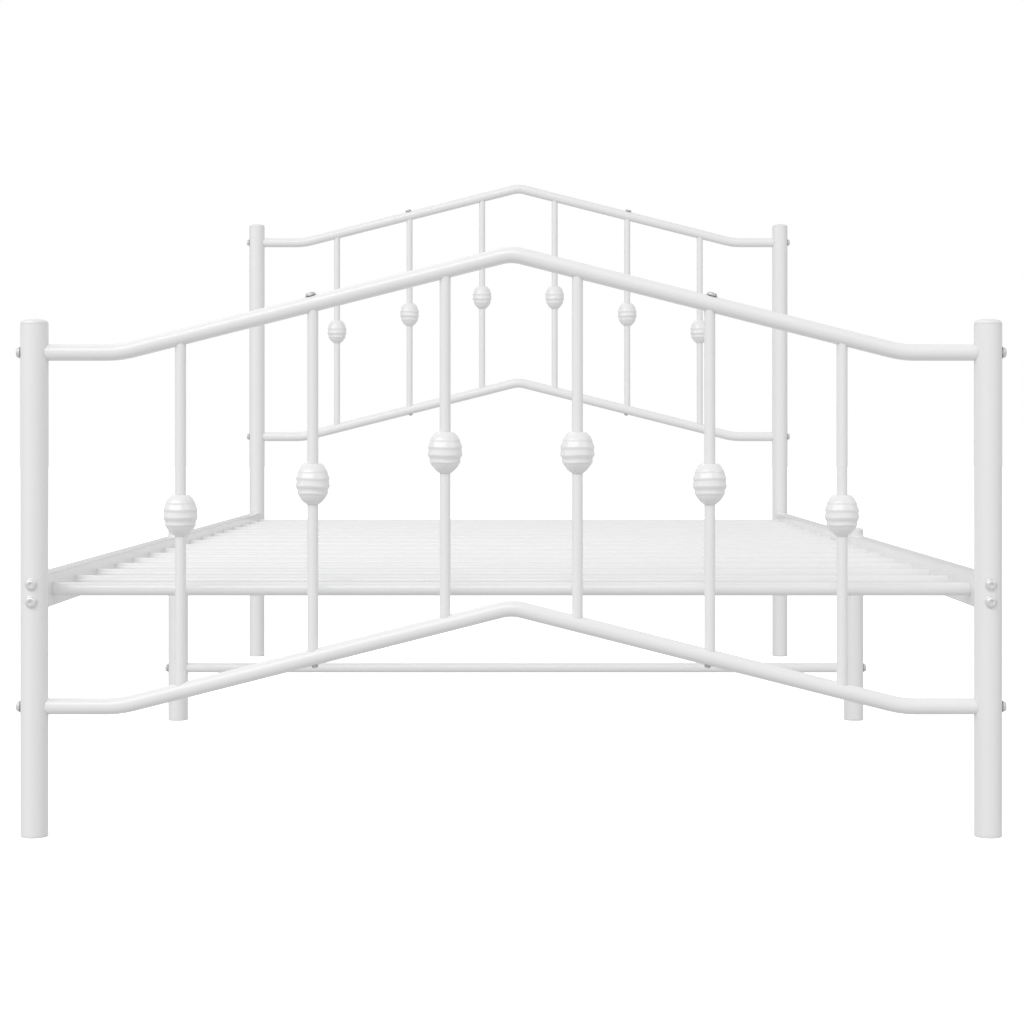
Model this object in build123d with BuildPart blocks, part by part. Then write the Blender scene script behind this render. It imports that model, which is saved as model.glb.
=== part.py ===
"""Single bed frame of round steel tube, with a headboard panel and a matching footboard panel.

Millimetres. +Z is up, +Y runs from the foot to the head and +X is across the bed. The origin
is on the floor, in the middle of the bed. The frame is bolted together and nothing in it moves.
"""
from build123d import *
import os
from math import cos, radians, sin, sqrt, tan

os.makedirs("parts", exist_ok=True)

# ---------------------------------------------------------------- driving dimensions
bed_width = 1100.0              # post axis to post axis, across the bed
bed_length = 2070.0             # post axis to post axis, along the bed

post_d = 32.0                   # corner posts and mid legs
post_wall = 1.5
foot_post_height = 597.0        # floor to the crown of the cap
head_post_height = 908.5
mid_leg_height = 314.0

cap_rise = 6.4                  # crown of the cap above the end of the tube
cap_shoulder_rise = 5.0         # height of the cap where its rounded edge ends
cap_shoulder_width = 7.0        # width of that rounded edge
cap_plug_depth = 12.0
glide_thickness = 3.0           # foot glide under the end of the tube
glide_edge = 1.0
glide_plug_depth = 14.0

rail_d = 19.0                   # bent rails of the two panels
rail_wall = 1.2
rail_spacing = 408.0            # lower rail to top rail, axis to axis
foot_lower_rail_z = 150.0       # axis of the level ends of the lower rail
head_lower_rail_z = 461.5
rail_end_length = 98.5          # post axis to the bend, along the level end
rail_slope = 14.2               # degrees, from each bend up to the peak
rail_bend_radius = 115.0
rail_peak_radius = 50.0

baluster_d = 12.7
baluster_wall = 1.0
baluster_count = 6
first_baluster_setback = 168.5  # post axis to the first baluster, across the bed

bead_d = 38.6                   # egg-shaped bead on each baluster
bead_height = 47.0
bead_slope = 13.3               # degrees, of the line that the centres of the beads lie on
bead_line_drop = 7.6            # that line at its peak, below the middle of the two rails' peaks
bead_belly_rise = 0.6           # widest place above the centre of the bead
bead_roundness = 26.3           # half height of the ellipse that the bead's outline follows
bead_ridges = 4
bead_ridge_pitch = 9.0
bead_ridge_depth = 1.3

side_rail_height = 40.0         # rectangular tube
side_rail_width = 20.0
side_rail_wall = 1.5
side_rail_corner = 2.5
side_rail_z = 281.6             # middle of the side rail

slat_d = 16.0
slat_wall = 1.2
slat_count = 16
first_slat_setback = 55.0       # post axis to the first slat, along the bed
slat_end_space = 1.0            # end of a slat to the outer wall of the side rail

cross_bar_d = 16.0
cross_bar_wall = 1.2
cross_bar_z = 85.0

bolt_d = 8.0                    # button-head bolts through the posts and mid legs
bolt_head_d = 14.0
bolt_head_height = 4.4
bolt_head_edge = 0.6            # upright rim under the domed head
bolt_engagement = 17.5          # from the post into the tapped piece
bolt_socket = 5.0               # hexagon socket, across flats
bolt_socket_depth = 2.6
side_bolt_spacing = 20.0        # the two bolts of a side rail, one above the other

screw_d = 6.0                   # flanged screws in the balusters and under the side rails
screw_head_d = 13.6
screw_head_height = 3.3
screw_head_edge = 0.8
screw_socket = 4.0
screw_socket_depth = 2.0
screw_engagement = 7.0          # past the axis of the rail, into the baluster's insert
baluster_insert_length = 16.0
tapped_hole_depth = 9.0

insert_length = 22.0            # tapped inserts in the ends of the panel rails and cross bar
end_block_length = 25.0         # tapped blocks in the corner ends of the side rails
stub_reach = 50.0               # leg axis to the end of the stub inside each half rail
stub_wall = 1.5
stub_screw_setback = 36.0       # leg axis to the screw under each half rail
nut_width = 10.0                # across flats
nut_thickness = 5.0
nut_screw_length = 9.0          # under the head

fit_gap = 0.25                  # all round what slides into or through another piece
seat_gap = 0.2                  # between a flat seat and a round tube

# ---------------------------------------------------------------- worked-out values
post_x = bed_width / 2
post_y = bed_length / 2
post_r = post_d / 2
post_bore_r = post_r - post_wall
rail_r = rail_d / 2
rail_bore_r = rail_r - rail_wall
baluster_bore_r = baluster_d / 2 - baluster_wall
cope_r = post_r + seat_gap      # radius that tube ends are cut to, where they meet a post
bend_x = post_x - rail_end_length
peak_rise = bend_x * tan(radians(rail_slope))
bolt_hole_r = bolt_d / 2 + fit_gap
screw_hole_r = screw_d / 2 + fit_gap
side_rail_bottom = side_rail_z - side_rail_height / 2
side_bore_width = side_rail_width - 2 * side_rail_wall
side_bore_height = side_rail_height - 2 * side_rail_wall
side_bore_corner = side_rail_corner - side_rail_wall
baluster_pitch = (bed_width - 2 * first_baluster_setback) / (baluster_count - 1)
baluster_xs = [(i - (baluster_count - 1) / 2) * baluster_pitch for i in range(baluster_count)]
bolted_balusters = (1, baluster_count - 2)
slat_pitch = (bed_length - 2 * first_slat_setback) / (slat_count - 1)
slat_ys = [first_slat_setback - post_y + i * slat_pitch for i in range(slat_count)]
side_bolt_zs = (side_rail_z - side_bolt_spacing / 2, side_rail_z + side_bolt_spacing / 2)
sides = {"left": -1, "right": 1}
ends = {"foot": -1, "head": 1}
lower_rail_z = {"foot": foot_lower_rail_z, "head": head_lower_rail_z}
post_height = {"foot": foot_post_height, "head": head_post_height}


def rail_height(level_z, x):
    """Height of a bent rail's axis at x, on its sloping part."""
    return level_z + (bend_x - abs(x)) * tan(radians(rail_slope))


def rail_normal(x):
    """Upward direction square to the sloping part of a bent rail at x."""
    side = 1 if x > 0 else -1
    return Vector(side * sin(radians(rail_slope)), 0, cos(radians(rail_slope)))


def plane_at(point, direction):
    """Plane at a point, whose normal runs along a direction."""
    return Plane(origin=point, z_dir=direction)


def plane_along_bed(point, end_sign):
    """Plane at a point, whose normal runs along the bed and whose x runs across it."""
    return Plane(origin=point, x_dir=(1, 0, 0), z_dir=(0, end_sign, 0))


def save(builder, name):
    """Name a finished piece and write it to its STEP file."""
    builder.part.label = name
    export_step(builder.part, f"parts/{name}.step")


# ---------------------------------------------------------------- corner posts
for end, end_sign in ends.items():
    for side, side_sign in sides.items():
        post_foot = Vector(side_sign * post_x, end_sign * post_y, glide_thickness)
        with BuildPart() as post:
            with BuildSketch(Plane(post_foot)):
                Circle(post_r)
                Circle(post_bore_r, mode=Mode.SUBTRACT)
            extrude(amount=post_height[end] - cap_rise - glide_thickness)
            for rail_z in (lower_rail_z[end], lower_rail_z[end] + rail_spacing):
                with BuildSketch(plane_at((post_foot.X, post_foot.Y, rail_z), (1, 0, 0))):
                    Circle(bolt_hole_r)
                extrude(amount=post_d, both=True, mode=Mode.SUBTRACT)
            for bolt_z in side_bolt_zs:
                with BuildSketch(plane_along_bed((post_foot.X, post_foot.Y, bolt_z), 1)):
                    Circle(bolt_hole_r)
                extrude(amount=post_d, both=True, mode=Mode.SUBTRACT)
        save(post, f"{end}_post_{side}")

# ---------------------------------------------------------------- mid legs
# A leg carries a welded stub of rectangular tube on each side, which the half rails slide over.
stub_width = side_bore_width - 2 * fit_gap
stub_height = side_bore_height - 2 * fit_gap
for side, side_sign in sides.items():
    leg_foot = Vector(side_sign * post_x, 0, glide_thickness)
    leg_at_rail = Vector(side_sign * post_x, 0, side_rail_z)
    with BuildPart() as mid_leg:
        with BuildSketch(plane_along_bed(leg_at_rail, 1)):
            RectangleRounded(stub_width, stub_height, side_bore_corner)
            Rectangle(stub_width - 2 * stub_wall, stub_height - 2 * stub_wall, mode=Mode.SUBTRACT)
        extrude(amount=stub_reach, both=True)
        for end_sign in ends.values():
            screw_place = (leg_foot.X, end_sign * stub_screw_setback, side_rail_z)
            with BuildSketch(plane_at(screw_place, (0, 0, -1))):
                Circle(screw_hole_r)
            extrude(amount=stub_height, mode=Mode.SUBTRACT)
        with BuildSketch(Plane(leg_foot)):
            Circle(post_r)
        extrude(amount=mid_leg_height - cap_rise - glide_thickness)
        with BuildSketch(Plane(leg_foot)):
            Circle(post_bore_r)
        extrude(amount=mid_leg_height, mode=Mode.SUBTRACT)
        with BuildSketch(plane_at((leg_foot.X, 0, cross_bar_z), (1, 0, 0))):
            Circle(bolt_hole_r)
        extrude(amount=post_d, both=True, mode=Mode.SUBTRACT)
    save(mid_leg, f"mid_leg_{side}")

# ---------------------------------------------------------------- caps and glides
upright_places = [(sx * post_x, sy * post_y, post_height[end])
                  for end, sy in ends.items() for sx in sides.values()]
upright_places += [(sx * post_x, 0, mid_leg_height) for sx in sides.values()]
plug_r = post_bore_r - fit_gap

with BuildPart() as post_caps:
    for x, y, top in upright_places:
        with BuildSketch(Plane((x, y, top - cap_rise), x_dir=(1, 0, 0), z_dir=(0, -1, 0))):
            with BuildLine():
                shoulder_x = post_r - cap_shoulder_width
                edge = JernArc((post_r, 0), (0, 1), cap_shoulder_rise, 62)
                crown = ThreePointArc((0, cap_rise), (shoulder_x / 2, cap_rise - 0.35),
                                      (shoulder_x, cap_shoulder_rise + 0.1))
                Line(edge @ 1, crown @ 1)
                Polyline(crown @ 0, (0, -cap_plug_depth), (plug_r, -cap_plug_depth),
                         (plug_r, 0), edge @ 0)
            make_face()
        revolve(axis=Axis((x, y, 0), (0, 0, 1)))
save(post_caps, "post_caps")

with BuildPart() as foot_glides:
    for x, y, top in upright_places:
        with BuildSketch(Plane((x, y, 0), x_dir=(1, 0, 0), z_dir=(0, -1, 0))):
            with BuildLine():
                rim = post_r - glide_edge
                Polyline((0, 0), (rim, 0), (post_r, glide_edge), (post_r, glide_thickness),
                         (plug_r, glide_thickness), (plug_r, glide_thickness + glide_plug_depth),
                         (0, glide_thickness + glide_plug_depth), close=True)
            make_face()
        revolve(axis=Axis((x, y, 0), (0, 0, 1)))
save(foot_glides, "foot_glides")

# ---------------------------------------------------------------- panels at the foot and the head
for end, end_sign in ends.items():
    panel_y = end_sign * post_y
    panel_rails = {"lower": lower_rail_z[end], "top": lower_rail_z[end] + rail_spacing}
    for rail_name, level_z in panel_rails.items():
        toward_panel = -1 if rail_name == "top" else 1
        with BuildPart() as panel_rail:
            with BuildLine() as rail_path:
                start_x = post_x - post_r / 2
                FilletPolyline((-start_x, panel_y, level_z), (-bend_x, panel_y, level_z),
                               (0, panel_y, level_z + peak_rise), (bend_x, panel_y, level_z),
                               (start_x, panel_y, level_z),
                               radius=[rail_bend_radius, rail_peak_radius, rail_bend_radius])
            with BuildSketch(plane_at((-start_x, panel_y, level_z), (1, 0, 0))):
                Circle(rail_r)
                Circle(rail_bore_r, mode=Mode.SUBTRACT)
            sweep()
            for side_sign in sides.values():
                with BuildSketch(Plane((side_sign * post_x, panel_y, level_z - rail_d))):
                    Circle(cope_r)
                extrude(amount=2 * rail_d, mode=Mode.SUBTRACT)
            for i, x in enumerate(baluster_xs):
                on_axis = Vector(x, panel_y, rail_height(level_z, x))
                with BuildSketch(plane_at(on_axis, (0, 0, toward_panel))):
                    Circle(baluster_d / 2 + fit_gap)
                extrude(amount=rail_d, mode=Mode.SUBTRACT)
                if i in bolted_balusters:
                    with BuildSketch(plane_at(on_axis, rail_normal(x) * -toward_panel)):
                        Circle(screw_hole_r)
                    extrude(amount=rail_d, mode=Mode.SUBTRACT)
        save(panel_rail, f"{end}_{rail_name}_rail")

# Each baluster stands in a hole in both rails and ends at the rails' axes.
for end, end_sign in ends.items():
    for i, x in enumerate(baluster_xs):
        bottom = rail_height(lower_rail_z[end], x)
        with BuildPart() as baluster:
            with BuildSketch(Plane((x, end_sign * post_y, bottom))):
                Circle(baluster_d / 2)
                Circle(baluster_bore_r, mode=Mode.SUBTRACT)
            extrude(amount=rail_spacing)
        save(baluster, f"{end}_baluster_{i + 1}")


def bead_radius(z):
    """Radius of the bead's smooth egg shape, at a height z from its centre."""
    return bead_d / 2 * sqrt(1 - ((z - bead_belly_rise) / bead_roundness) ** 2)


half_bead = bead_height / 2
first_groove = bead_belly_rise - bead_ridges * bead_ridge_pitch / 2
for end, end_sign in ends.items():
    bead_peak_z = lower_rail_z[end] + peak_rise + rail_spacing / 2 - bead_line_drop
    with BuildPart() as beads:
        for x in baluster_xs:
            bead_z = bead_peak_z - abs(x) * tan(radians(bead_slope))
            with BuildSketch(Plane((x, end_sign * post_y, bead_z), x_dir=(1, 0, 0), z_dir=(0, -1, 0))):
                with BuildLine():
                    groove = (bead_radius(first_groove) - bead_ridge_depth, first_groove)
                    bottom_edge = (bead_radius(-half_bead), -half_bead)
                    bore = baluster_d / 2 + fit_gap
                    Polyline((bore, half_bead), (bore, -half_bead), bottom_edge)
                    mid_z = (first_groove - half_bead) / 2
                    ThreePointArc(bottom_edge, (bead_radius(mid_z), mid_z), groove)
                    for ridge in range(bead_ridges):
                        crest_z = first_groove + (ridge + 0.5) * bead_ridge_pitch
                        next_z = crest_z + bead_ridge_pitch / 2
                        next_groove = (bead_radius(next_z) - bead_ridge_depth, next_z)
                        ThreePointArc(groove, (bead_radius(crest_z), crest_z), next_groove)
                        groove = next_groove
                    mid_z = (groove[1] + half_bead) / 2
                    top_edge = (bead_radius(half_bead), half_bead)
                    ThreePointArc(groove, (bead_radius(mid_z), mid_z), top_edge)
                    Line(top_edge, (bore, half_bead))
                make_face()
            revolve(axis=Axis((x, end_sign * post_y, 0), (0, 0, 1)))
    save(beads, f"{end}_beads")

# ---------------------------------------------------------------- side rails, in two halves a side
for side, side_sign in sides.items():
    for end, end_sign in ends.items():
        rail_x = side_sign * post_x
        with BuildPart() as side_rail:
            with BuildSketch(plane_along_bed((rail_x, 0, side_rail_z), end_sign)):
                RectangleRounded(side_rail_width, side_rail_height, side_rail_corner)
                RectangleRounded(side_bore_width, side_bore_height, side_bore_corner,
                                 mode=Mode.SUBTRACT)
            extrude(amount=post_y)
            for upright_y in (0, end_sign * post_y):
                with BuildSketch(Plane((rail_x, upright_y, side_rail_bottom))):
                    Circle(cope_r)
                extrude(amount=side_rail_height, mode=Mode.SUBTRACT)
            for slat_y in slat_ys:
                if slat_y * end_sign > 0:
                    with BuildSketch(plane_at((rail_x, slat_y, side_rail_z), (-side_sign, 0, 0))):
                        Circle(slat_d / 2 + fit_gap)
                    extrude(amount=side_rail_width, mode=Mode.SUBTRACT)
            screw_place = (rail_x, end_sign * stub_screw_setback, side_rail_z)
            with BuildSketch(plane_at(screw_place, (0, 0, -1))):
                Circle(screw_hole_r)
            extrude(amount=side_rail_height, mode=Mode.SUBTRACT)
        save(side_rail, f"side_rail_{side}_{end}")

# ---------------------------------------------------------------- slats and cross bar
slat_reach = post_x + side_bore_width / 2 - slat_end_space
for i, slat_y in enumerate(slat_ys):
    with BuildPart() as slat:
        with BuildSketch(plane_at((0, slat_y, side_rail_z), (1, 0, 0))):
            Circle(slat_d / 2)
            Circle(slat_d / 2 - slat_wall, mode=Mode.SUBTRACT)
        extrude(amount=slat_reach, both=True)
    save(slat, f"slat_{i + 1:02d}")

with BuildPart() as cross_bar:
    with BuildSketch(plane_at((0, 0, cross_bar_z), (1, 0, 0))):
        Circle(cross_bar_d / 2)
        Circle(cross_bar_d / 2 - cross_bar_wall, mode=Mode.SUBTRACT)
    extrude(amount=post_x - post_r / 2, both=True)
    for side_sign in sides.values():
        with BuildSketch(Plane((side_sign * post_x, 0, cross_bar_z - cross_bar_d))):
            Circle(cope_r)
        extrude(amount=2 * cross_bar_d, mode=Mode.SUBTRACT)
save(cross_bar, "cross_bar")

# ---------------------------------------------------------------- tapped pieces inside the tubes
insert_start = cope_r + seat_gap

with BuildPart() as panel_rail_inserts:
    for end, end_sign in ends.items():
        for side_sign in sides.values():
            for rail_z in (lower_rail_z[end], lower_rail_z[end] + rail_spacing):
                face = (side_sign * (post_x - insert_start), end_sign * post_y, rail_z)
                with BuildSketch(plane_at(face, (-side_sign, 0, 0))):
                    Circle(rail_bore_r - fit_gap)
                    Circle(bolt_hole_r, mode=Mode.SUBTRACT)
                extrude(amount=insert_length)
save(panel_rail_inserts, "panel_rail_inserts")

with BuildPart() as cross_bar_inserts:
    for side_sign in sides.values():
        face = (side_sign * (post_x - insert_start), 0, cross_bar_z)
        with BuildSketch(plane_at(face, (-side_sign, 0, 0))):
            Circle(cross_bar_d / 2 - cross_bar_wall - fit_gap)
            Circle(bolt_hole_r, mode=Mode.SUBTRACT)
        extrude(amount=insert_length)
save(cross_bar_inserts, "cross_bar_inserts")

with BuildPart() as side_rail_end_blocks:
    for end_sign in ends.values():
        for side_sign in sides.values():
            face = (side_sign * post_x, end_sign * (post_y - insert_start), side_rail_z)
            with BuildSketch(plane_along_bed(face, -end_sign)):
                RectangleRounded(stub_width, stub_height, side_bore_corner)
                with GridLocations(0, side_bolt_spacing, 1, 2):
                    Circle(bolt_hole_r, mode=Mode.SUBTRACT)
            extrude(amount=end_block_length)
save(side_rail_end_blocks, "side_rail_end_blocks")

# The screws come in square to the sloping rails, so each insert is tapped at the rails' slope.
with BuildPart() as baluster_inserts:
    for end, end_sign in ends.items():
        for x in [baluster_xs[i] for i in bolted_balusters]:
            for level_z, into in ((lower_rail_z[end], 1), (lower_rail_z[end] + rail_spacing, -1)):
                on_axis = Vector(x, end_sign * post_y, rail_height(level_z, x))
                with BuildSketch(plane_at(on_axis, (0, 0, into))):
                    Circle(baluster_bore_r - fit_gap)
                extrude(amount=baluster_insert_length)
                tap_start = on_axis - rail_normal(x) * into * rail_r
                with BuildSketch(plane_at(tap_start, rail_normal(x) * into)):
                    Circle(screw_hole_r)
                extrude(amount=rail_r + tapped_hole_depth, mode=Mode.SUBTRACT)
save(baluster_inserts, "baluster_inserts")

with BuildPart() as stub_nuts:
    for side_sign in sides.values():
        for end_sign in ends.values():
            seat_z = side_rail_z - stub_height / 2 + stub_wall
            seat = (side_sign * post_x, end_sign * stub_screw_setback, seat_z)
            with BuildSketch(Plane(seat)):
                RegularPolygon(nut_width / 2, 6, major_radius=False)
                Circle(screw_hole_r, mode=Mode.SUBTRACT)
            extrude(amount=nut_thickness)
save(stub_nuts, "stub_nuts")


# ---------------------------------------------------------------- bolts and screws
def button_bolt(shank_d, length, head_d, head_height, head_edge, socket, socket_depth):
    """A button-head bolt that points down, with the underside of its head at the origin."""
    with BuildPart() as bolt:
        with BuildSketch(Plane.XZ):
            with BuildLine():
                shank_r = shank_d / 2
                head_r = head_d / 2
                top_r = socket * 0.7
                Polyline((0, -length), (shank_r - 0.6, -length), (shank_r, 0.6 - length),
                         (shank_r, 0), (head_r, 0), (head_r, head_edge))
                dome = (head_r * 0.8, head_height * 0.72)
                ThreePointArc((head_r, head_edge), dome, (top_r, head_height))
                Polyline((top_r, head_height), (0, head_height), (0, -length))
            make_face()
        revolve(axis=Axis.Z)
        with BuildSketch(Plane.XY.offset(head_height)):
            RegularPolygon(socket / 2, 6, major_radius=False)
        extrude(amount=-socket_depth, mode=Mode.SUBTRACT)
    return bolt.part


long_bolt = button_bolt(bolt_d, post_d + seat_gap + bolt_engagement, bolt_head_d,
                        bolt_head_height, bolt_head_edge, bolt_socket, bolt_socket_depth)
rail_screw = button_bolt(screw_d, rail_r + seat_gap + screw_engagement, screw_head_d,
                         screw_head_height, screw_head_edge, screw_socket, screw_socket_depth)
stub_screw = button_bolt(screw_d, nut_screw_length, screw_head_d,
                         screw_head_height, screw_head_edge, screw_socket, screw_socket_depth)
bolt_seat = post_r + seat_gap

with BuildPart() as panel_rail_bolts:
    for end, end_sign in ends.items():
        for side_sign in sides.values():
            for rail_z in (lower_rail_z[end], lower_rail_z[end] + rail_spacing):
                seat = (side_sign * (post_x + bolt_seat), end_sign * post_y, rail_z)
                with Locations(plane_at(seat, (side_sign, 0, 0))):
                    add(long_bolt)
save(panel_rail_bolts, "panel_rail_bolts")

with BuildPart() as side_rail_bolts:
    for end_sign in ends.values():
        for side_sign in sides.values():
            for bolt_z in side_bolt_zs:
                seat = (side_sign * post_x, end_sign * (post_y + bolt_seat), bolt_z)
                with Locations(plane_at(seat, (0, end_sign, 0))):
                    add(long_bolt)
save(side_rail_bolts, "side_rail_bolts")

with BuildPart() as cross_bar_bolts:
    for side_sign in sides.values():
        seat = (side_sign * (post_x + bolt_seat), 0, cross_bar_z)
        with Locations(plane_at(seat, (side_sign, 0, 0))):
            add(long_bolt)
save(cross_bar_bolts, "cross_bar_bolts")

with BuildPart() as baluster_screws:
    for end, end_sign in ends.items():
        for x in [baluster_xs[i] for i in bolted_balusters]:
            for level_z, out in ((lower_rail_z[end], -1), (lower_rail_z[end] + rail_spacing, 1)):
                outward = rail_normal(x) * out
                on_axis = Vector(x, end_sign * post_y, rail_height(level_z, x))
                with Locations(plane_at(on_axis + outward * (rail_r + seat_gap), outward)):
                    add(rail_screw)
save(baluster_screws, "baluster_screws")

with BuildPart() as stub_screws:
    for side_sign in sides.values():
        for end_sign in ends.values():
            seat = (side_sign * post_x, end_sign * stub_screw_setback, side_rail_bottom)
            with Locations(plane_at(seat, (0, 0, -1))):
                add(stub_screw)
save(stub_screws, "stub_screws")
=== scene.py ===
import math

import bpy
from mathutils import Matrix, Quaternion, Vector


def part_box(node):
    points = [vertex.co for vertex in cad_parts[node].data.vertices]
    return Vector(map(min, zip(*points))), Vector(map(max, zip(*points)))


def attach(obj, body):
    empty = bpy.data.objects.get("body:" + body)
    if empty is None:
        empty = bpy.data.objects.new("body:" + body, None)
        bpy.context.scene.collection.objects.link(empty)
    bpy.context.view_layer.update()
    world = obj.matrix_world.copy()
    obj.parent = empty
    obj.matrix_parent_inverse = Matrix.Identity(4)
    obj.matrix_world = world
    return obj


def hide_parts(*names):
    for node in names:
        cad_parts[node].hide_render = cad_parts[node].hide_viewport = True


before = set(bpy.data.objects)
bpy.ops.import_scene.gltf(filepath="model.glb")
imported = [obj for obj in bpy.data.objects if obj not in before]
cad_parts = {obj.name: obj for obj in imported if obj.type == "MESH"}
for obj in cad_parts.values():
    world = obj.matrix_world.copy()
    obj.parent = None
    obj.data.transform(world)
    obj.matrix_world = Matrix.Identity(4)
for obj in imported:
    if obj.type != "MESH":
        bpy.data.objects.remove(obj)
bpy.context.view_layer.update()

bl_info = {
    "name": "Tubular bed frame",
    "version": (1, 0, 0),
    "blender": (4, 5, 0),
    "location": "View3D > Sidebar > Bed frame",
    "description": "Finishes and fittings of a white tubular bed frame, and a plain studio around it",
    "category": "Object",
}

# The places of the fittings come from the tubes that carry them.
MM = 0.001
ENDS = {"foot": -1, "head": 1}
SIDES = {"left": -1, "right": 1}
WHITE_NODES = [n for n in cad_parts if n.split("_")[0] in ("foot", "head", "side", "mid", "slat", "cross")
               and not n.endswith(("bolts", "beads", "glides", "blocks", "inserts"))]
HIDDEN_NODES = ["panel_rail_inserts", "cross_bar_inserts", "side_rail_end_blocks", "baluster_inserts", "stub_nuts"]


def middle(node):
    """Middle of a CAD node's box."""
    low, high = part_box(node)
    return (low + high) / 2


def extent(node):
    """Size of a CAD node's box."""
    low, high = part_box(node)
    return high - low


POST_RADIUS = extent("foot_post_left").x / 2
BALUSTER_RADIUS = extent("foot_baluster_1").x / 2
RAIL_RADIUS = extent("foot_top_rail").y / 2
BALUSTERS = 6
BOLTED_BALUSTERS = (2, 5)
UPRIGHTS = [f"{end}_post_{side}" for end in ENDS for side in SIDES] + [f"mid_leg_{side}" for side in SIDES]

FIT_GAP = 0.25 * MM             # all round what slides on to or into a tube
SEAT_GAP = 0.2 * MM             # between a flat seat and a round tube
CAP_PLUG = 12 * MM              # depth of a cap's plug in its tube
GLIDE_PLUG = 14 * MM            # depth of a glide's plug in its tube
PLUG_FINS = 3
GLIDE_EDGE = 1.3 * MM           # rounding of a glide where it meets the floor
SOCKET_LIP = 0.15 * MM          # how far a hexagon socket starts below the top of its head
SOCKET_CHAMFER = 0.2 * MM

BEAD_SEGMENTS = 72
PLUG_SEGMENTS = 64
HEAD_SEGMENTS = 48
BEAD_TURN = 137                 # degrees from bead to bead, so that no two neighbours look alike
HEAD_TURN = 23                  # degrees from one bolt or screw to the next


# ---------------------------------------------------------------- sizes and colours that a user would change
class CoatSettings(bpy.types.PropertyGroup):
    """White powder coat of the tubes."""

    colour: bpy.props.FloatVectorProperty(
        name="Coat colour", description="Colour of the powder coat", subtype="COLOR",
        size=3, min=0, max=1, default=(0.86, 0.86, 0.86))
    gloss: bpy.props.FloatProperty(
        name="Coat roughness", description="Mean roughness of the powder coat",
        min=0.05, max=1, default=0.14)
    peel_size: bpy.props.FloatProperty(
        name="Orange peel size", description="Distance from dimple to dimple in the coat",
        unit="LENGTH", default=2.6 * MM)
    peel_depth: bpy.props.FloatProperty(
        name="Orange peel depth", description="Depth of the dimples in the coat",
        unit="LENGTH", default=0.012 * MM)


class BeadSettings(bpy.types.PropertyGroup):
    """Cast egg-shaped beads on the balusters."""

    diameter: bpy.props.FloatProperty(
        name="Bead diameter", description="Widest diameter of a bead",
        unit="LENGTH", default=40 * MM)
    height: bpy.props.FloatProperty(
        name="Bead height", description="Height of a bead, from flat to flat",
        unit="LENGTH", default=47 * MM)
    ridge_depth: bpy.props.FloatProperty(
        name="Ridge depth", description="Depth of the grooves between the cast ridges",
        unit="LENGTH", default=1.3 * MM)
    flare: bpy.props.FloatProperty(
        name="Ridge flare", description="How late a cast band flares out to its crest, as a power",
        min=1, max=4, default=1.7)
    waviness: bpy.props.FloatProperty(
        name="Ridge waviness", description="How far the cast ridges wander up and down",
        unit="LENGTH", default=1.5 * MM)


class CapSettings(bpy.types.PropertyGroup):
    """Moulded caps on the posts and legs, and the glides under them."""

    colour: bpy.props.FloatVectorProperty(
        name="Plastic colour", description="Colour of the moulded caps and glides", subtype="COLOR",
        size=3, min=0, max=1, default=(0.84, 0.84, 0.84))
    crown: bpy.props.FloatProperty(
        name="Cap height", description="Crown of a cap above the end of its tube",
        unit="LENGTH", default=6.4 * MM)
    edge_radius: bpy.props.FloatProperty(
        name="Cap edge radius", description="Radius of the rounded edge of a cap",
        unit="LENGTH", default=5.0 * MM)
    glide_thickness: bpy.props.FloatProperty(
        name="Glide thickness", description="Thickness of a glide under the end of its tube",
        unit="LENGTH", default=3.0 * MM)
    wall: bpy.props.FloatProperty(
        name="Tube wall", description="Wall of the tubes that the plugs go into",
        unit="LENGTH", default=1.5 * MM)
    seam: bpy.props.FloatProperty(
        name="Seam width", description="Width of the seam between a cap or glide and its tube",
        unit="LENGTH", default=0.18 * MM)


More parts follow.
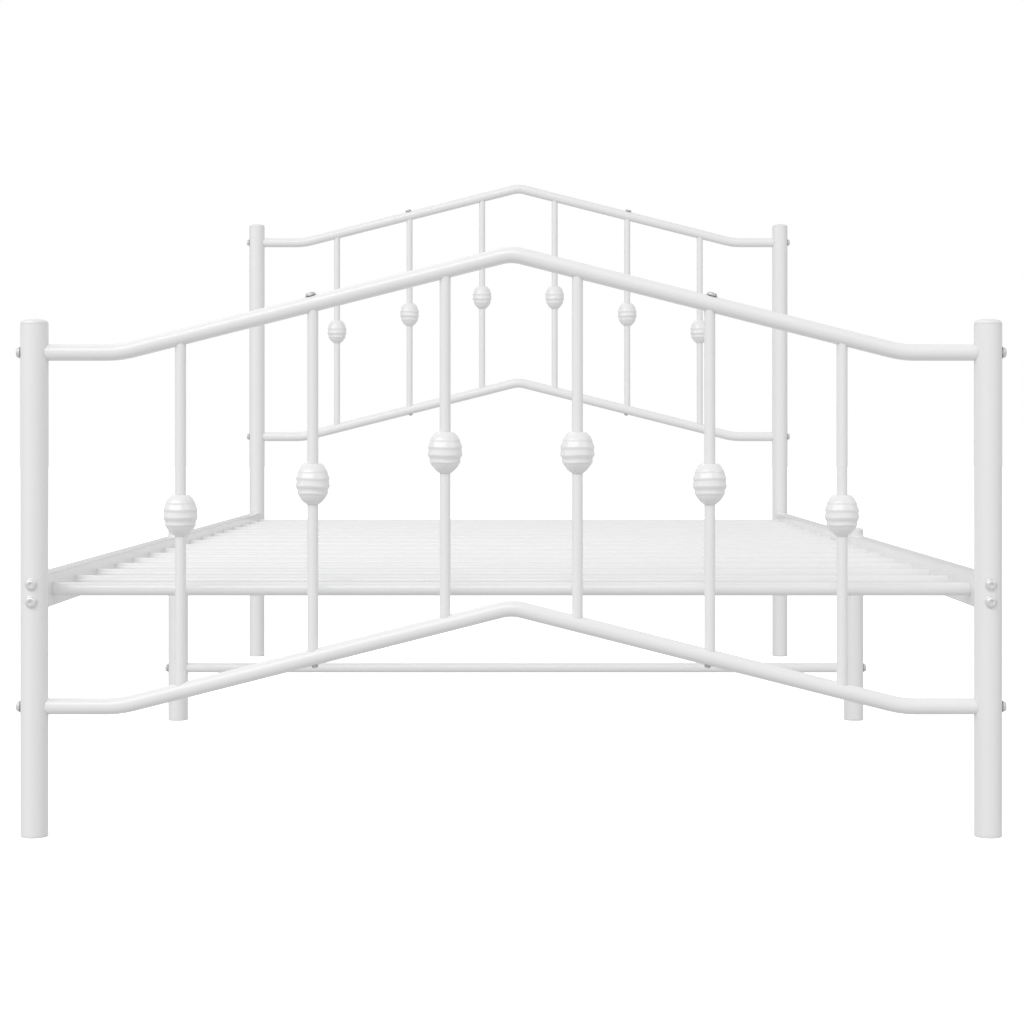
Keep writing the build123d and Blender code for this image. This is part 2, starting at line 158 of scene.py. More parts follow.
class FastenerSettings(bpy.types.PropertyGroup):
    """Flanged button-head bolts and screws."""

    zinc_colour: bpy.props.FloatVectorProperty(
        name="Zinc colour", description="Colour of the zinc plate on the screws",
        subtype="COLOR", size=3, min=0, max=1, default=(0.6, 0.6, 0.61))
    # Painted light: the outer bolts' plate is a lighter copy of the screws' zinc, and its extra lightness stands in
    # for light on their shaded heads and seats.
    outer_colour_painted_light: bpy.props.FloatVectorProperty(
        name="Outer bolt colour", description="Colour of the zinc plate on the outer bolts",
        subtype="COLOR", size=3, min=0, max=1, default=(0.72, 0.72, 0.73))
    # Painted light: the side rails' bolts face the front lamps, and this still lighter copy of the same zinc paints
    # in the light that falls on them.
    bright_colour_painted_light: bpy.props.FloatVectorProperty(
        name="Bright plate colour", description="Colour of the plate on the side rails' bolts",
        subtype="COLOR", size=3, min=0, max=1, default=(0.84, 0.84, 0.84))
    bolt_head: bpy.props.FloatProperty(
        name="Bolt head diameter", description="Diameter of a bolt's flange", unit="LENGTH", default=14 * MM)
    bolt_height: bpy.props.FloatProperty(
        name="Bolt head height", description="Height of a bolt's head", unit="LENGTH", default=4.4 * MM)
    bolt_shank: bpy.props.FloatProperty(
        name="Bolt diameter", description="Diameter of a bolt's shank", unit="LENGTH", default=8 * MM)
    bolt_length: bpy.props.FloatProperty(
        name="Bolt length", description="Length of a bolt under its head", unit="LENGTH", default=49.7 * MM)
    bolt_socket: bpy.props.FloatProperty(
        name="Bolt socket", description="Hexagon socket of a bolt, across flats",
        unit="LENGTH", default=4.8 * MM)
    screw_head: bpy.props.FloatProperty(
        name="Screw head diameter", description="Diameter of a screw's flange", unit="LENGTH", default=13.6 * MM)
    screw_height: bpy.props.FloatProperty(
        name="Screw head height", description="Height of a screw's head", unit="LENGTH", default=3.6 * MM)
    lower_screw_head: bpy.props.FloatProperty(
        name="Lower screw head diameter", description="Diameter of the smaller heads under the lower rails",
        unit="LENGTH", default=8.2 * MM)
    lower_screw_height: bpy.props.FloatProperty(
        name="Lower screw head height", description="Height of the smaller heads under the lower rails",
        unit="LENGTH", default=2.7 * MM)
    screw_shank: bpy.props.FloatProperty(
        name="Screw diameter", description="Diameter of a screw's shank", unit="LENGTH", default=6 * MM)
    rail_screw_length: bpy.props.FloatProperty(
        name="Rail screw length", description="Length under the head of a screw in a panel rail",
        unit="LENGTH", default=16.7 * MM)
    stub_screw_length: bpy.props.FloatProperty(
        name="Side rail screw length", description="Length under the head of a screw below a side rail",
        unit="LENGTH", default=9 * MM)
    screw_socket: bpy.props.FloatProperty(
        name="Screw socket", description="Hexagon socket of a screw, across flats",
        unit="LENGTH", default=2.6 * MM)


class StudioSettings(bpy.types.PropertyGroup):
    """Camera, floor and lights."""

    lens: bpy.props.FloatProperty(
        name="Lens", description="Focal length of the camera", unit="CAMERA", default=76.57)
    camera_distance: bpy.props.FloatProperty(
        name="Camera distance", description="From the middle of the bed to the camera",
        unit="LENGTH", default=3.547)
    camera_height: bpy.props.FloatProperty(
        name="Camera height", description="Height of the camera above the floor",
        unit="LENGTH", default=0.4606)
    camera_side: bpy.props.FloatProperty(
        name="Camera side step", description="How far the camera stands to the right of the middle",
        unit="LENGTH", default=0.0182)
    floor_size: bpy.props.FloatProperty(
        name="Floor size", description="Side of the square floor", unit="LENGTH", default=60)
    shift_x: bpy.props.FloatProperty(
        name="Camera shift across", description="Sideways shift of the camera's frame", default=-0.0147)
    shift_y: bpy.props.FloatProperty(
        name="Camera shift up", description="Upward shift of the camera's frame", default=-0.0732)
    ceiling: bpy.props.FloatProperty(
        name="Ceiling glow", description="Brightness of the room above", min=0, default=0.4)
    ground: bpy.props.FloatProperty(
        name="Ground glow", description="Brightness of what the floor throws back up", min=0, default=0.35)
    left_wall: bpy.props.FloatProperty(
        name="Left glow", description="Brightness of the room on the left", min=0, default=0.25)
    right_wall: bpy.props.FloatProperty(
        name="Right glow", description="Brightness of the room on the right", min=0, default=0.25)
    front_wall: bpy.props.FloatProperty(
        name="Front glow", description="Brightness of the room behind the camera", min=0, default=0.5)
    back_wall: bpy.props.FloatProperty(
        name="Back glow", description="Brightness of the room beyond the bed", min=0, default=0.55)


# ---------------------------------------------------------------- shader maths
class Shade:
    """A shader socket that takes part in Python sums, each of which adds its Math node."""

    def __init__(self, finish, socket):
        self.finish = finish
        self.socket = socket

    def maths(self, operation, *values):
        return self.finish.node("ShaderNodeMath", {"operation": operation}, values)

    def __add__(self, other):
        return self.maths("ADD", self, other)

    def __sub__(self, other):
        return self.maths("SUBTRACT", self, other)

    def __rsub__(self, other):
        return self.maths("SUBTRACT", other, self)

    def __mul__(self, other):
        return self.maths("MULTIPLY", self, other)

    __radd__ = __add__
    __rmul__ = __mul__


class Finish:
    """A procedural material or world, built up node by node."""

    def __init__(self, material):
        self.material = material
        self.material.use_nodes = True
        self.tree = self.material.node_tree
        self.tree.nodes.clear()

    def node(self, kind, settings=None, inputs=None, output=0):
        """Add a node: its settings first, then the values or links of its sockets."""
        node = self.tree.nodes.new(kind)
        for name, value in (settings or {}).items():
            setattr(node, name, value)
        pairs = inputs.items() if isinstance(inputs, dict) else enumerate(inputs or ())
        for key, value in pairs:
            if isinstance(value, Shade):
                self.tree.links.new(value.socket, node.inputs[key])
            else:
                node.inputs[key].default_value = value
        return Shade(self, node.outputs[output]) if node.outputs else None

    def place(self):
        """Coordinates of the object itself, in metres."""
        return self.node("ShaderNodeTexCoord", output="Object")

    def noise(self, place, size, detail=2, roughness=0.5):
        """Noise from 0 to 1, of a given size in metres."""
        return self.node("ShaderNodeTexNoise", inputs={
            "Vector": place, "Scale": 1 / size, "Detail": detail, "Roughness": roughness})

    def mix(self, factor, first, second):
        """A colour between two colours."""
        settings = {"data_type": "RGBA"}
        return self.node("ShaderNodeMix", settings, {0: factor, 6: first, 7: second}, output=2)

    def surface(self, inputs):
        """End the material in a Principled surface."""
        shader = self.node("ShaderNodeBsdfPrincipled", inputs=inputs)
        self.node("ShaderNodeOutputMaterial", inputs={"Surface": shader})
        return self.material


def shaded(colour, amount):
    """A colour made lighter or darker, as a socket takes it."""
    return tuple(channel * amount for channel in colour[:3]) + (1,)


def powder_coat(name, colour, roughness, peel_size, peel_depth):
    """Satin powder coat: a faint orange peel, and a film that is slightly thicker in places."""
    finish = Finish(bpy.data.materials.new(name))
    place = finish.place()
    peel = finish.noise(place, peel_size, detail=1.5)
    grit = finish.noise(place, peel_size / 4, detail=1)
    film = finish.noise(place, 0.09, detail=3)
    relief = finish.node("ShaderNodeBump", inputs={
        "Strength": 1, "Distance": peel_depth, "Height": peel * 0.8 + grit * 0.2})
    return finish.surface({
        "Base Color": finish.mix(film, shaded(colour, 0.99), shaded(colour, 1.01)),
        "Roughness": (film - 0.5) * 0.08 + (peel - 0.5) * 0.05 + roughness,
        "Normal": relief,
    })


def moulded_plastic(name, colour):
    """Injection-moulded plastic: finely sparked, softer in gloss than the coat."""
    finish = Finish(bpy.data.materials.new(name))
    place = finish.place()
    spark = finish.noise(place, 0.00035, detail=1)
    flow = finish.noise(place, 0.02, detail=2)
    relief = finish.node("ShaderNodeBump", inputs={
        "Strength": 1, "Distance": 0.0012 * MM, "Height": spark})
    return finish.surface({
        "Base Color": finish.mix(flow, shaded(colour, 0.985), shaded(colour, 1.0)),
        "Roughness": (spark - 0.5) * 0.04 + 0.27,
        "Normal": relief,
    })


def zinc_plate(name, colour, roughness, metallic):
    """Zinc plate: metal, with the fine mottle of its passivated skin."""
    finish = Finish(bpy.data.materials.new(name))
    place = finish.place()
    mottle = finish.noise(place, 0.0016, detail=3, roughness=0.6)
    scratch = finish.noise(place, 0.0004, detail=2)
    relief = finish.node("ShaderNodeBump", inputs={
        "Strength": 1, "Distance": 0.004 * MM, "Height": scratch})
    return finish.surface({
        "Base Color": finish.mix(mottle, shaded(colour, 0.9), shaded(colour, 1.06)),
        "Metallic": metallic,
        "Roughness": (mottle - 0.5) * 0.2 + roughness,
        "Normal": relief,
    })


def give(material, *objects):
    """Give objects one material."""
    for piece in objects:
        piece.data.materials.clear()
        piece.data.materials.append(material)


# ---------------------------------------------------------------- modelling
def clear_selection():
    """Leave edit mode with nothing selected."""
    if bpy.context.object and bpy.context.object.mode != "OBJECT":
        bpy.ops.object.mode_set(mode="OBJECT")
    bpy.ops.object.select_all(action="DESELECT")


def pick(*objects):
    """Select these objects only, and make the first one active."""
    clear_selection()
    for piece in objects:
        piece.select_set(True)
    bpy.context.view_layer.objects.active = objects[0]


def turned(outline, segments, ring=False):
    """Turn a piece about +Z: a circle, extruded and resized along an outline of (radius, height).

    A ring has its last circle bridged to its first, through its bore; any other piece has its ends filled.
    """
    clear_selection()
    radius, height = outline[0]
    bpy.ops.mesh.primitive_circle_add(vertices=segments, radius=radius, location=(0, 0, height))
    bpy.ops.object.transform_apply(location=True)
    bpy.ops.object.mode_set(mode="EDIT")
    bpy.ops.mesh.select_all(action="SELECT")
    for next_radius, next_height in outline[1:]:
        bpy.ops.mesh.extrude_edges_move(TRANSFORM_OT_translate={"value": (0, 0, next_height - height)})
        scale = next_radius / radius
        bpy.ops.transform.resize(value=(scale, scale, 1), center_override=(0, 0, next_height))
        radius, height = next_radius, next_height
    bpy.ops.mesh.select_all(action="DESELECT")
    bpy.ops.mesh.select_non_manifold()
    if ring:
        bpy.ops.mesh.bridge_edge_loops()
    else:
        bpy.ops.mesh.fill_holes(sides=0)
    bpy.ops.mesh.select_all(action="SELECT")
    bpy.ops.mesh.normals_make_consistent(inside=False)
    bpy.ops.object.mode_set(mode="OBJECT")
    return bpy.context.object


def select_faces(piece, wanted):
    """Enter edit mode on a piece, with only the wanted faces selected."""
    pick(piece)
    bpy.ops.object.mode_set(mode="EDIT")
    bpy.ops.mesh.select_mode(type="FACE")
    bpy.ops.mesh.select_all(action="DESELECT")
    bpy.ops.object.mode_set(mode="OBJECT")
    for face in piece.data.polygons:
        face.select = wanted(face)
    bpy.ops.object.mode_set(mode="EDIT")


def smooth(piece, degrees=35):
    """Shade a piece smooth, apart from its sharp edges."""
    pick(piece)
    bpy.ops.object.shade_smooth_by_angle(angle=math.radians(degrees))


def apply_modifier(piece, kind, **settings):
    """Add a modifier to a piece and apply it."""
    pick(piece)
    modifier = piece.modifiers.new(kind.title(), kind)
    for name, value in settings.items():
        setattr(modifier, name, value)
    bpy.ops.object.modifier_apply(modifier=modifier.name)


def put(pattern, name, location, material, stands_for, direction=(0, 0, 1), turn=0.0):
    """Put a copy of a finished pattern piece in its place, with its own mesh."""
    pick(pattern)
    bpy.ops.object.duplicate(linked=False)
    piece = bpy.context.object
    piece.name = piece.data.name = name
    facing = Vector(direction).to_track_quat("Z", "Y")
    piece.rotation_mode = "QUATERNION"
    piece.rotation_quaternion = facing @ Quaternion((0, 0, 1), turn)
    piece.location = location
    bpy.ops.object.transform_apply(location=True, rotation=True, scale=True)
    give(material, piece)
    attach(piece, "root")
    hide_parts(stands_for)
    return piece


def scrap(piece):
    """Remove a pattern piece once its copies are in place."""
    pick(piece)
    bpy.ops.object.delete()


# ---------------------------------------------------------------- pieces
class BED_OT_tubes(bpy.types.Operator):
    """Coat the posts, rails, balusters, side rails, slats and cross bar"""

    bl_idname = "bed.tubes"
    bl_label = "Coat the tubes"

    def execute(self, context):
        coat = context.scene.bed_coat
        white = powder_coat("white_powder_coat", coat.colour, coat.gloss, coat.peel_size, coat.peel_depth)
        give(white, *[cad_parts[n] for n in WHITE_NODES])
        steel = zinc_plate("plain_steel", (0.5, 0.5, 0.5), roughness=0.4, metallic=1.0)
        give(steel, *[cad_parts[n] for n in HIDDEN_NODES])
        return {"FINISHED"}


def bead_outline(beads, bore):
    """Outline of a bead: an egg in cast bands, each flared out to a crest that overhangs the next band."""
    half = beads.height / 2
    belly = 1.2 * MM
    crests = [(z * MM, depth, under * MM) for z, depth, under in
              ((14.8, 0.45, 2.4), (7.0, 0.75, 3.8), (-2.1, 1.0, 5.0), (-11.0, 0.35, 2.6))]
    feet = [crest[0] for crest in crests[1:]] + [-half]
    steps = 96
    outline = [(bore, -half)]
    for step in range(steps + 1):
        z = -half + beads.height * step / steps
        roundness = (25.5 if z > belly else 26.2) * MM
        radius = beads.diameter / 2 * math.sqrt(max(0, 1 - ((z - belly) / roundness) ** 2))
        for (crest, depth, under), foot in zip(crests, feet):
            if crest - under < z < crest:
                cut = (1 - math.cos(math.pi * (crest - z) / under)) / 2
            elif foot < z <= crest - under:
                cut = 1 - ((crest - under - z) / (crest - under - foot)) ** (beads.flare if foot > -half else 0.8)
            else:
                continue
            radius -= beads.ridge_depth * depth * cut
        outline.append((max(radius, bore + 1.2 * MM), z))
    outline.append((bore, half))
    return outline


def bead_place(end, number, height):
    """Middle of a bead: the beads of a panel lie on two straight lines that meet at its peak."""
    low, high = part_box(f"{end}_beads")
    reach = [abs(middle(f"{end}_baluster_{n}").x) for n in (1, number, BALUSTERS // 2)]
    along = (reach[0] - reach[1]) / (reach[0] - reach[2])
    outer, inner = low.z + height / 2, high.z - height / 2
    place = middle(f"{end}_baluster_{number}")
    place.z = outer + (inner - outer) * along
    return place


class BED_OT_beads(bpy.types.Operator):
    """Model the cast bead and put one on every baluster"""

    bl_idname = "bed.beads"
    bl_label = "Cast beads"

    def execute(self, context):
        beads = context.scene.bed_beads
        coat = context.scene.bed_coat
        white = powder_coat("cast_bead_coat", coat.colour, coat.gloss * 0.65,
                            coat.peel_size * 1.5, coat.peel_depth * 1.6)
        pattern = turned(bead_outline(beads, BALUSTER_RADIUS + FIT_GAP), BEAD_SEGMENTS, ring=True)
        # Only the banded part wanders and is lumpy: the bore and the two flats keep still.
        band = pattern.vertex_groups.new(name="ridges")
        reach = 0.36 * beads.height
        for vertex in pattern.data.vertices:
            if vertex.co.xy.length > BALUSTER_RADIUS + 2 * MM:
                rise = abs(vertex.co.z) / reach
                band.add([vertex.index], max(0.0, min(1.0, (1.35 - rise) / 0.35)), "REPLACE")
        wander = bpy.data.textures.new("ridge_wander", "CLOUDS")
        wander.noise_scale = 0.02
        wander.noise_depth = 0
        apply_modifier(pattern, "DISPLACE", texture=wander, direction="Z", strength=beads.waviness,
                       mid_level=0.5, vertex_group="ridges", texture_coords="LOCAL")
        lumps = bpy.data.textures.new("cast_lumps", "CLOUDS")
        lumps.noise_scale = 0.012
        lumps.noise_depth = 1
        apply_modifier(pattern, "DISPLACE", texture=lumps, direction="NORMAL", strength=0.35 * MM,
                       mid_level=0.6, vertex_group="ridges", texture_coords="LOCAL")
        smooth(pattern, 60)
        for end in ENDS:
            for number in range(1, BALUSTERS + 1):
                place = bead_place(end, number, beads.height)
                put(pattern, f"{end}_bead_{number}", place, white, f"{end}_beads",
                    turn=math.radians(BEAD_TURN * number))
        scrap(pattern)
        return {"FINISHED"}


def plug_outline(radius, end_z, seat_z):
    """Outline of a finned plug, from its free end to its seat."""
    step = (seat_z - end_z) / PLUG_FINS
    outline = [(radius - 1.6 * MM, end_z)]
    for fin in range(PLUG_FINS):
        start = end_z + step * fin
        outline += [(radius - 1.2 * MM, start + step * 0.09), (radius, start + step * 0.48),
                    (radius, start + step * 0.6), (radius - 1.0 * MM, start + step * 0.63)]
    return outline


def cap_outline(caps):
    """Outline of a cap: its plug, a fine seam at the tube, a rounded edge and a low crown."""
    bore = POST_RADIUS - caps.wall - FIT_GAP
    outline = plug_outline(bore, -CAP_PLUG, 0)
    outline += [(bore, -0.05 * MM), (POST_RADIUS - 0.35 * MM, 0.0),
                (POST_RADIUS - 0.3 * MM, caps.seam * 0.9), (POST_RADIUS - 0.06 * MM, caps.seam),
                (POST_RADIUS, caps.seam + 0.1 * MM)]
    steps, sweep = 12, math.radians(62)
    for step in range(1, steps + 1):
        angle = sweep * step / steps
        height = caps.edge_radius * math.sin(angle)
        if height > caps.seam + 0.3 * MM:
            outline.append((POST_RADIUS - caps.edge_radius * (1 - math.cos(angle)), height))
    shoulder = outline[-1]
    for part in (0.25, 0.5, 0.75, 0.9, 0.98):
        radius = shoulder[0] * (1 - part)
        rise = (caps.crown - shoulder[1]) * math.sin(math.pi / 2 * min(1, part * 1.12))
        outline.append((radius, shoulder[1] + rise))
    return outline


def glide_outline(caps):
    """Outline of a glide: a rounded foot, a fine seam at the tube and a finned plug."""
    bore = POST_RADIUS - caps.wall - FIT_GAP
    seat = caps.glide_thickness
    edge = GLIDE_EDGE
    outline = [(POST_RADIUS - edge - 5 * MM, 0.0), (POST_RADIUS - edge, 0.0)]
    for step in range(1, 6):
        angle = math.pi / 2 * step / 5
        outline.append((POST_RADIUS - edge + edge * math.sin(angle), edge - edge * math.cos(angle)))
    outline += [(POST_RADIUS, seat - caps.seam - 0.1 * MM), (POST_RADIUS - 0.06 * MM, seat - caps.seam),
                (POST_RADIUS - 0.3 * MM, seat - caps.seam * 0.9), (POST_RADIUS - 0.35 * MM, seat),
                (bore, seat + 0.05 * MM)]
    fins = plug_outline(bore, seat + GLIDE_PLUG, seat)
    return outline + fins[::-1]


class BED_OT_caps(bpy.types.Operator):
    """Model the cap and the glide, and put one of each on every post and leg"""

    bl_idname = "bed.caps"
    bl_label = "Caps and glides"

    def execute(self, context):
        caps = context.scene.bed_caps
        plastic = moulded_plastic("white_moulded_plastic", caps.colour)
        cap = turned(cap_outline(caps), PLUG_SEGMENTS)
        smooth(cap, 40)
        glide = turned(glide_outline(caps), PLUG_SEGMENTS)
        smooth(glide, 40)
        for upright in UPRIGHTS:
            low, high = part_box(upright)
            centre = middle(upright)
            put(cap, f"{upright}_cap", (centre.x, centre.y, high.z), plastic, "post_caps")
            put(glide, f"{upright}_glide", (centre.x, centre.y, low.z - caps.glide_thickness),
                plastic, "foot_glides")
        scrap(cap)
        scrap(glide)
        return {"FINISHED"}


def hex_socket(piece, across_flats, depth):
    """Open the flat top of a turned head in a hexagon, and sink it to a drill mark."""
    height = max(face.center.z for face in piece.data.polygons)
    select_faces(piece, lambda face: face.center.z > height - 0.01 * MM)
    bpy.ops.mesh.delete(type="ONLY_FACE")
    bpy.ops.mesh.select_mode(type="EDGE")
    radius = across_flats / 2 / math.cos(math.pi / 6)
    bpy.ops.mesh.primitive_circle_add(vertices=6, radius=radius, location=(0, 0, height - SOCKET_LIP))
    bpy.ops.mesh.subdivide(number_cuts=7)
    bpy.ops.mesh.select_all(action="DESELECT")
    bpy.ops.mesh.select_non_manifold()
    bpy.ops.mesh.bridge_edge_loops()
    bpy.ops.mesh.select_all(action="DESELECT")
    bpy.ops.mesh.select_non_manifold()
    level = height - SOCKET_LIP
    for scale, drop in ((0.92, SOCKET_CHAMFER), (0.97, depth - SOCKET_CHAMFER - SOCKET_LIP),
                        (0.3, 0.0), (0.4, 0.2 * MM)):
        level -= drop
        bpy.ops.mesh.extrude_edges_move(TRANSFORM_OT_translate={"value": (0, 0, -drop)})
        bpy.ops.transform.resize(value=(scale, scale, 1), center_override=(0, 0, level))
    bpy.ops.mesh.edge_face_add()
    bpy.ops.mesh.select_mode(type="VERT")
    bpy.ops.mesh.select_all(action="SELECT")
    bpy.ops.mesh.normals_make_consistent(inside=False)
    bpy.ops.object.mode_set(mode="OBJECT")


def button_head(shank, length, flange, height, socket):
    """Model a flanged button-head bolt that points down, with the seat of its head at the origin."""
    shank_radius, flange_radius = shank / 2, flange / 2
    button = 0.9 * flange_radius
    outline = [
        (shank_radius - 0.6 * MM, -length), (shank_radius, 0.6 * MM - length),
        (shank_radius, -0.4 * MM), (shank_radius + 0.2 * MM, 0.0),
        (flange_radius - 0.2 * MM, 0.0), (flange_radius, 0.15 * MM),
        (flange_radius - 0.05 * MM, 0.1 * height), (flange_radius - 0.25 * MM, 0.14 * height),
        (button + 0.12 * MM, 0.16 * height), (button, 0.2 * height), (button * 0.985, 0.34 * height),
        (button * 0.96, 0.5 * height), (button * 0.92, 0.65 * height), (button * 0.855, 0.79 * height),
        (button * 0.77, 0.9 * height), (button * 0.67, 0.97 * height), (button * 0.58, height)]
    piece = turned(outline, HEAD_SEGMENTS)
    hex_socket(piece, socket, 0.4 * height)
    smooth(piece, 38)
    return piece


def bolt_seats(head_height, head_radius):
    """Where the heads of the bolts sit, node by node: place, direction and name of each."""
    seats = {"panel_rail_bolts": [], "side_rail_bolts": [], "cross_bar_bolts": []}
    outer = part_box("panel_rail_bolts")[1].x - head_height
    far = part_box("side_rail_bolts")[1].y - head_height
    low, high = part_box("side_rail_bolts")
    for side, sign in SIDES.items():
        for end, along in ENDS.items():
            for rail in ("lower", "top"):
                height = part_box(f"{end}_{rail}_rail")[0].z + RAIL_RADIUS
                place = (sign * outer, middle(f"{end}_post_{side}").y, height)
                seats["panel_rail_bolts"].append((place, (sign, 0, 0), f"{end}_{rail}_rail_bolt_{side}"))
            for level, height in (("lower", low.z + head_radius), ("upper", high.z - head_radius)):
                place = (middle(f"{end}_post_{side}").x, along * far, height)
                seats["side_rail_bolts"].append((place, (0, along, 0), f"{end}_{level}_side_bolt_{side}"))
        place = (sign * outer, 0, middle("cross_bar").z)
        seats["cross_bar_bolts"].append((place, (sign, 0, 0), f"cross_bar_bolt_{side}"))
    return seats


def rail_screw_seats(gap):
    """Where the screws of the bolted balusters sit, square to the sloping rails, rail by rail."""
    seats = {"lower": [], "top": []}
    for end in ENDS:
        first, second = middle(f"{end}_baluster_1"), middle(f"{end}_baluster_2")
        slope = math.atan2(second.z - first.z, second.x - first.x)
        for number in BOLTED_BALUSTERS:
            low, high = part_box(f"{end}_baluster_{number}")
            centre = middle(f"{end}_baluster_{number}")
            lean = math.copysign(slope, centre.x)
            normal = Vector((math.sin(lean), 0, math.cos(lean)))
            for rail, height, out in (("lower", low.z, -1), ("top", high.z, 1)):
                place = Vector((centre.x, centre.y, height)) + normal * out * (RAIL_RADIUS + gap)
                seats[rail].append((place, normal * out, f"{end}_{rail}_rail_screw_{number}"))
    return seats


def stub_screw_seats(head_radius):
    """Where the screws under the side rails sit."""
    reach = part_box("stub_screws")[1].y - head_radius
    return [((middle(f"mid_leg_{side}").x, along * reach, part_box(f"side_rail_{side}_{end}")[0].z), (0, 0, -1),
             f"side_rail_screw_{side}_{end}") for side in SIDES for end, along in ENDS.items()]


class BED_OT_fasteners(bpy.types.Operator):
    """Model the bolts and screws and put each in its place"""

    bl_idname = "bed.fasteners"
    bl_label = "Bolts and screws"

    def execute(self, context):
        steel = context.scene.bed_fasteners
        # One zinc plate in three copies: the lighter colours of the outer bolts and of the side rails' bolts (the
        # light ones below) are painted light.
        zinc = zinc_plate("zinc_plate", steel.zinc_colour, roughness=0.4, metallic=0.45)
        outer = zinc_plate("outer_zinc_plate_painted_light", steel.outer_colour_painted_light, roughness=0.4, metallic=0.3)
        bright = zinc_plate("bright_plate_painted_light", steel.bright_colour_painted_light, roughness=0.36, metallic=0.5)
        bolt = button_head(steel.bolt_shank, steel.bolt_length, steel.bolt_head, steel.bolt_height, steel.bolt_socket)
        for node, seats in bolt_seats(steel.bolt_height, steel.bolt_head / 2).items():
            light = node == "side_rail_bolts"
            for number, (place, direction, name) in enumerate(seats):
                put(bolt, name, place, bright if light else outer,
                    node, direction=direction, turn=math.radians(HEAD_TURN * number))
        scrap(bolt)
        rail_seats = rail_screw_seats(SEAT_GAP)
        screws = [
            ("baluster_screws", steel.screw_head, steel.screw_height, steel.rail_screw_length, rail_seats["top"]),
            ("baluster_screws", steel.lower_screw_head, steel.lower_screw_height, steel.rail_screw_length,
             rail_seats["lower"]),
            ("stub_screws", steel.screw_head, steel.screw_height, steel.stub_screw_length,
             stub_screw_seats(steel.screw_head / 2))]
        for node, head, height, length, seats in screws:
            screw = button_head(steel.screw_shank, length, head, height, steel.screw_socket)
            for number, (place, direction, name) in enumerate(seats):
                put(screw, name, place, zinc, node, direction=direction,
                    turn=math.radians(HEAD_TURN * number))
            scrap(screw)
        return {"FINISHED"}


# ---------------------------------------------------------------- studio
def softbox(name, azimuth, elevation, width, height, power, distance=8):
    """An area light that faces the middle of the bed.

    Its azimuth, in degrees, is 0 behind the camera and 90 at the right of the bed.
    """
    turn, rise = math.radians(azimuth), math.radians(elevation)
    target = Vector((0, -0.3, 0.45))
    back = Vector((math.sin(turn) * math.cos(rise), -math.cos(turn) * math.cos(rise), math.sin(rise)))
    clear_selection()
    bpy.ops.object.light_add(type="AREA", location=target + back * distance)
    light = bpy.context.object
    light.name = light.data.name = name
    light.rotation_mode = "QUATERNION"
    light.rotation_quaternion = back.to_track_quat("Z", "Y")
    light.data.shape = "RECTANGLE"
    light.data.size = width
    light.data.size_y = height
    light.data.energy = power
    light.visible_camera = False
    return light


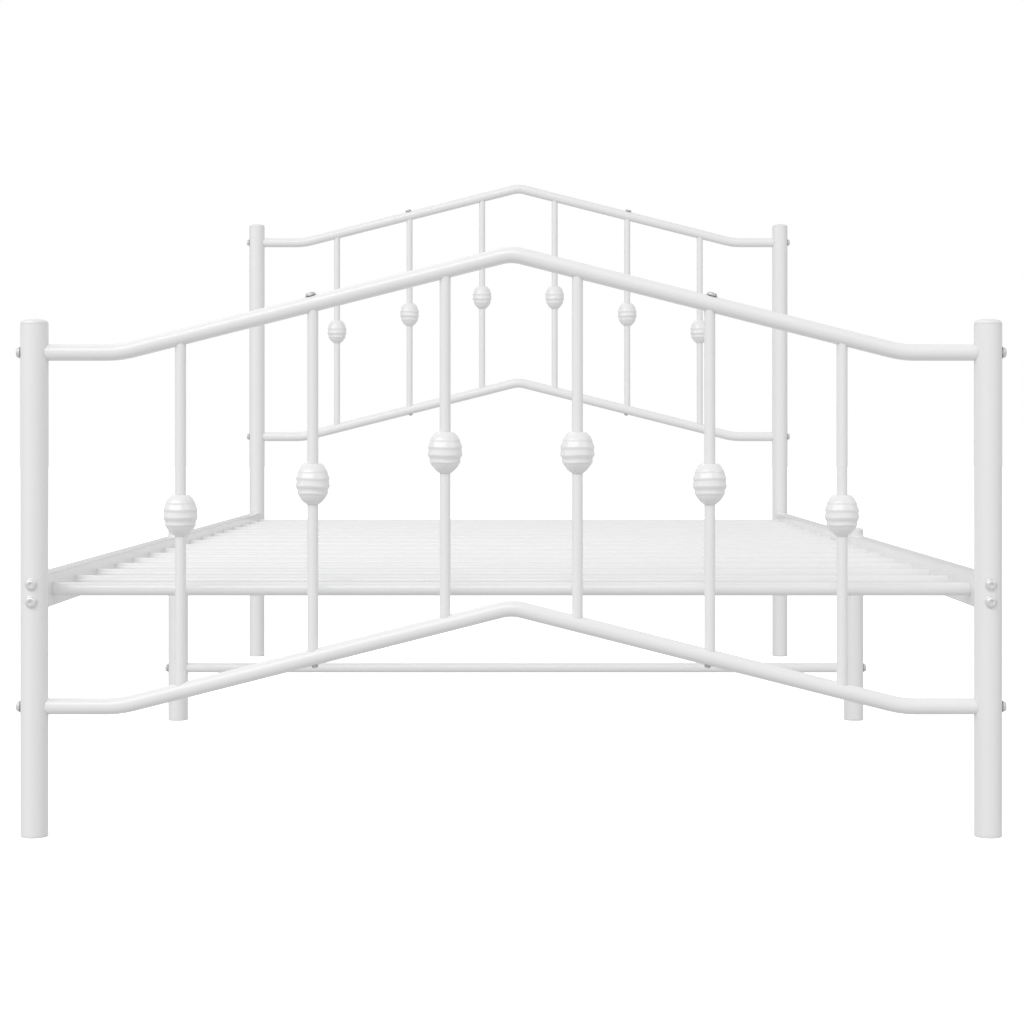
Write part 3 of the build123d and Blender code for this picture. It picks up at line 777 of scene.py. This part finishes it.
class BED_OT_studio(bpy.types.Operator):
    """Make the pale floor, the soft lights and the camera"""

    bl_idname = "bed.studio"
    bl_label = "Studio"

    def execute(self, context):
        studio = context.scene.bed_studio
        clear_selection()
        bpy.ops.mesh.primitive_plane_add(size=studio.floor_size)
        floor = context.object
        floor.name = floor.data.name = "studio_floor"
        pale = Finish(bpy.data.materials.new("pale_floor"))
        give(pale.surface({"Base Color": (0.9, 0.9, 0.9, 1), "Roughness": 0.9,
                           "Emission Color": (1, 1, 1, 1), "Emission Strength": 0.8}), floor)
        floor.visible_diffuse = False
        floor.visible_glossy = False
        floor.visible_shadow = False

        world = bpy.data.worlds.new("studio_room")
        context.scene.world = world
        room = Finish(world)
        aim = room.node("ShaderNodeTexCoord", output="Generated")
        walls = {(0, 0, 1): studio.ceiling, (0, 0, -1): studio.ground,
                 (-1, 0, 0): studio.left_wall, (1, 0, 0): studio.right_wall,
                 (0, -1, 0): studio.front_wall, (0, 1, 0): studio.back_wall}
        glow = 0.0
        for facing, strength in walls.items():
            share = room.node("ShaderNodeVectorMath", {"operation": "DOT_PRODUCT"}, [aim, facing], output="Value")
            glow = glow + strength * room.node("ShaderNodeMapRange", {"interpolation_type": "SMOOTHSTEP"}, {
                "Value": share, "From Min": 0.0, "From Max": 0.9})
        seen = room.node("ShaderNodeLightPath", output="Is Camera Ray")
        light = room.node("ShaderNodeBackground", inputs={"Color": (1, 1, 1, 1), "Strength": glow})
        white = room.node("ShaderNodeBackground", inputs={"Color": (1, 1, 1, 1), "Strength": 1.0})
        room.node("ShaderNodeOutputWorld", inputs={
            "Surface": room.node("ShaderNodeMixShader", inputs=[seen, light, white])})

        softbox("softbox_front_left", azimuth=-35, elevation=40, width=10.5, height=3.2, power=270)
        softbox("softbox_left", azimuth=-75, elevation=20, width=4, height=4, power=45)
        softbox("softbox_right", azimuth=60, elevation=30, width=4, height=4, power=50)
        softbox("softbox_back", azimuth=-160, elevation=50, width=5, height=5, power=30)

        clear_selection()
        place = (studio.camera_side, -studio.camera_distance, studio.camera_height)
        bpy.ops.object.camera_add(location=place, rotation=(math.pi / 2, 0, 0))
        camera = context.object
        camera.name = "studio_camera"
        camera.data.lens = studio.lens
        camera.data.shift_x = studio.shift_x
        camera.data.shift_y = studio.shift_y
        camera.data.clip_end = 200
        context.scene.camera = camera
        context.scene.view_settings.view_transform = "Standard"
        return {"FINISHED"}


class BED_PT_panel(bpy.types.Panel):
    """Lists the pieces, their sizes and their colours"""

    bl_label = "Bed frame"
    bl_idname = "BED_PT_panel"
    bl_space_type = "VIEW_3D"
    bl_region_type = "UI"
    bl_category = "Bed frame"

    def draw(self, context):
        for settings, operators in SECTIONS:
            box = self.layout.box()
            group = getattr(context.scene, settings)
            for name in group.__annotations__:
                box.prop(group, name)
            for operator in operators:
                box.operator(operator.bl_idname)


SECTIONS = [
    ("bed_coat", [BED_OT_tubes]),
    ("bed_beads", [BED_OT_beads]),
    ("bed_caps", [BED_OT_caps]),
    ("bed_fasteners", [BED_OT_fasteners]),
    ("bed_studio", [BED_OT_studio]),
]
SETTINGS = {
    "bed_coat": CoatSettings,
    "bed_beads": BeadSettings,
    "bed_caps": CapSettings,
    "bed_fasteners": FastenerSettings,
    "bed_studio": StudioSettings,
}
CLASSES = [*SETTINGS.values(), BED_OT_tubes, BED_OT_beads, BED_OT_caps, BED_OT_fasteners, BED_OT_studio, BED_PT_panel]


def register():
    for cls in CLASSES:
        bpy.utils.register_class(cls)
    for name, group in SETTINGS.items():
        setattr(bpy.types.Scene, name, bpy.props.PointerProperty(type=group))


def unregister():
    for name in SETTINGS:
        delattr(bpy.types.Scene, name)
    for cls in reversed(CLASSES):
        bpy.utils.unregister_class(cls)


def main():
    register()
    bpy.ops.bed.tubes()
    bpy.ops.bed.beads()
    bpy.ops.bed.caps()
    bpy.ops.bed.fasteners()
    bpy.ops.bed.studio()


if __name__ == "__main__":
    main()
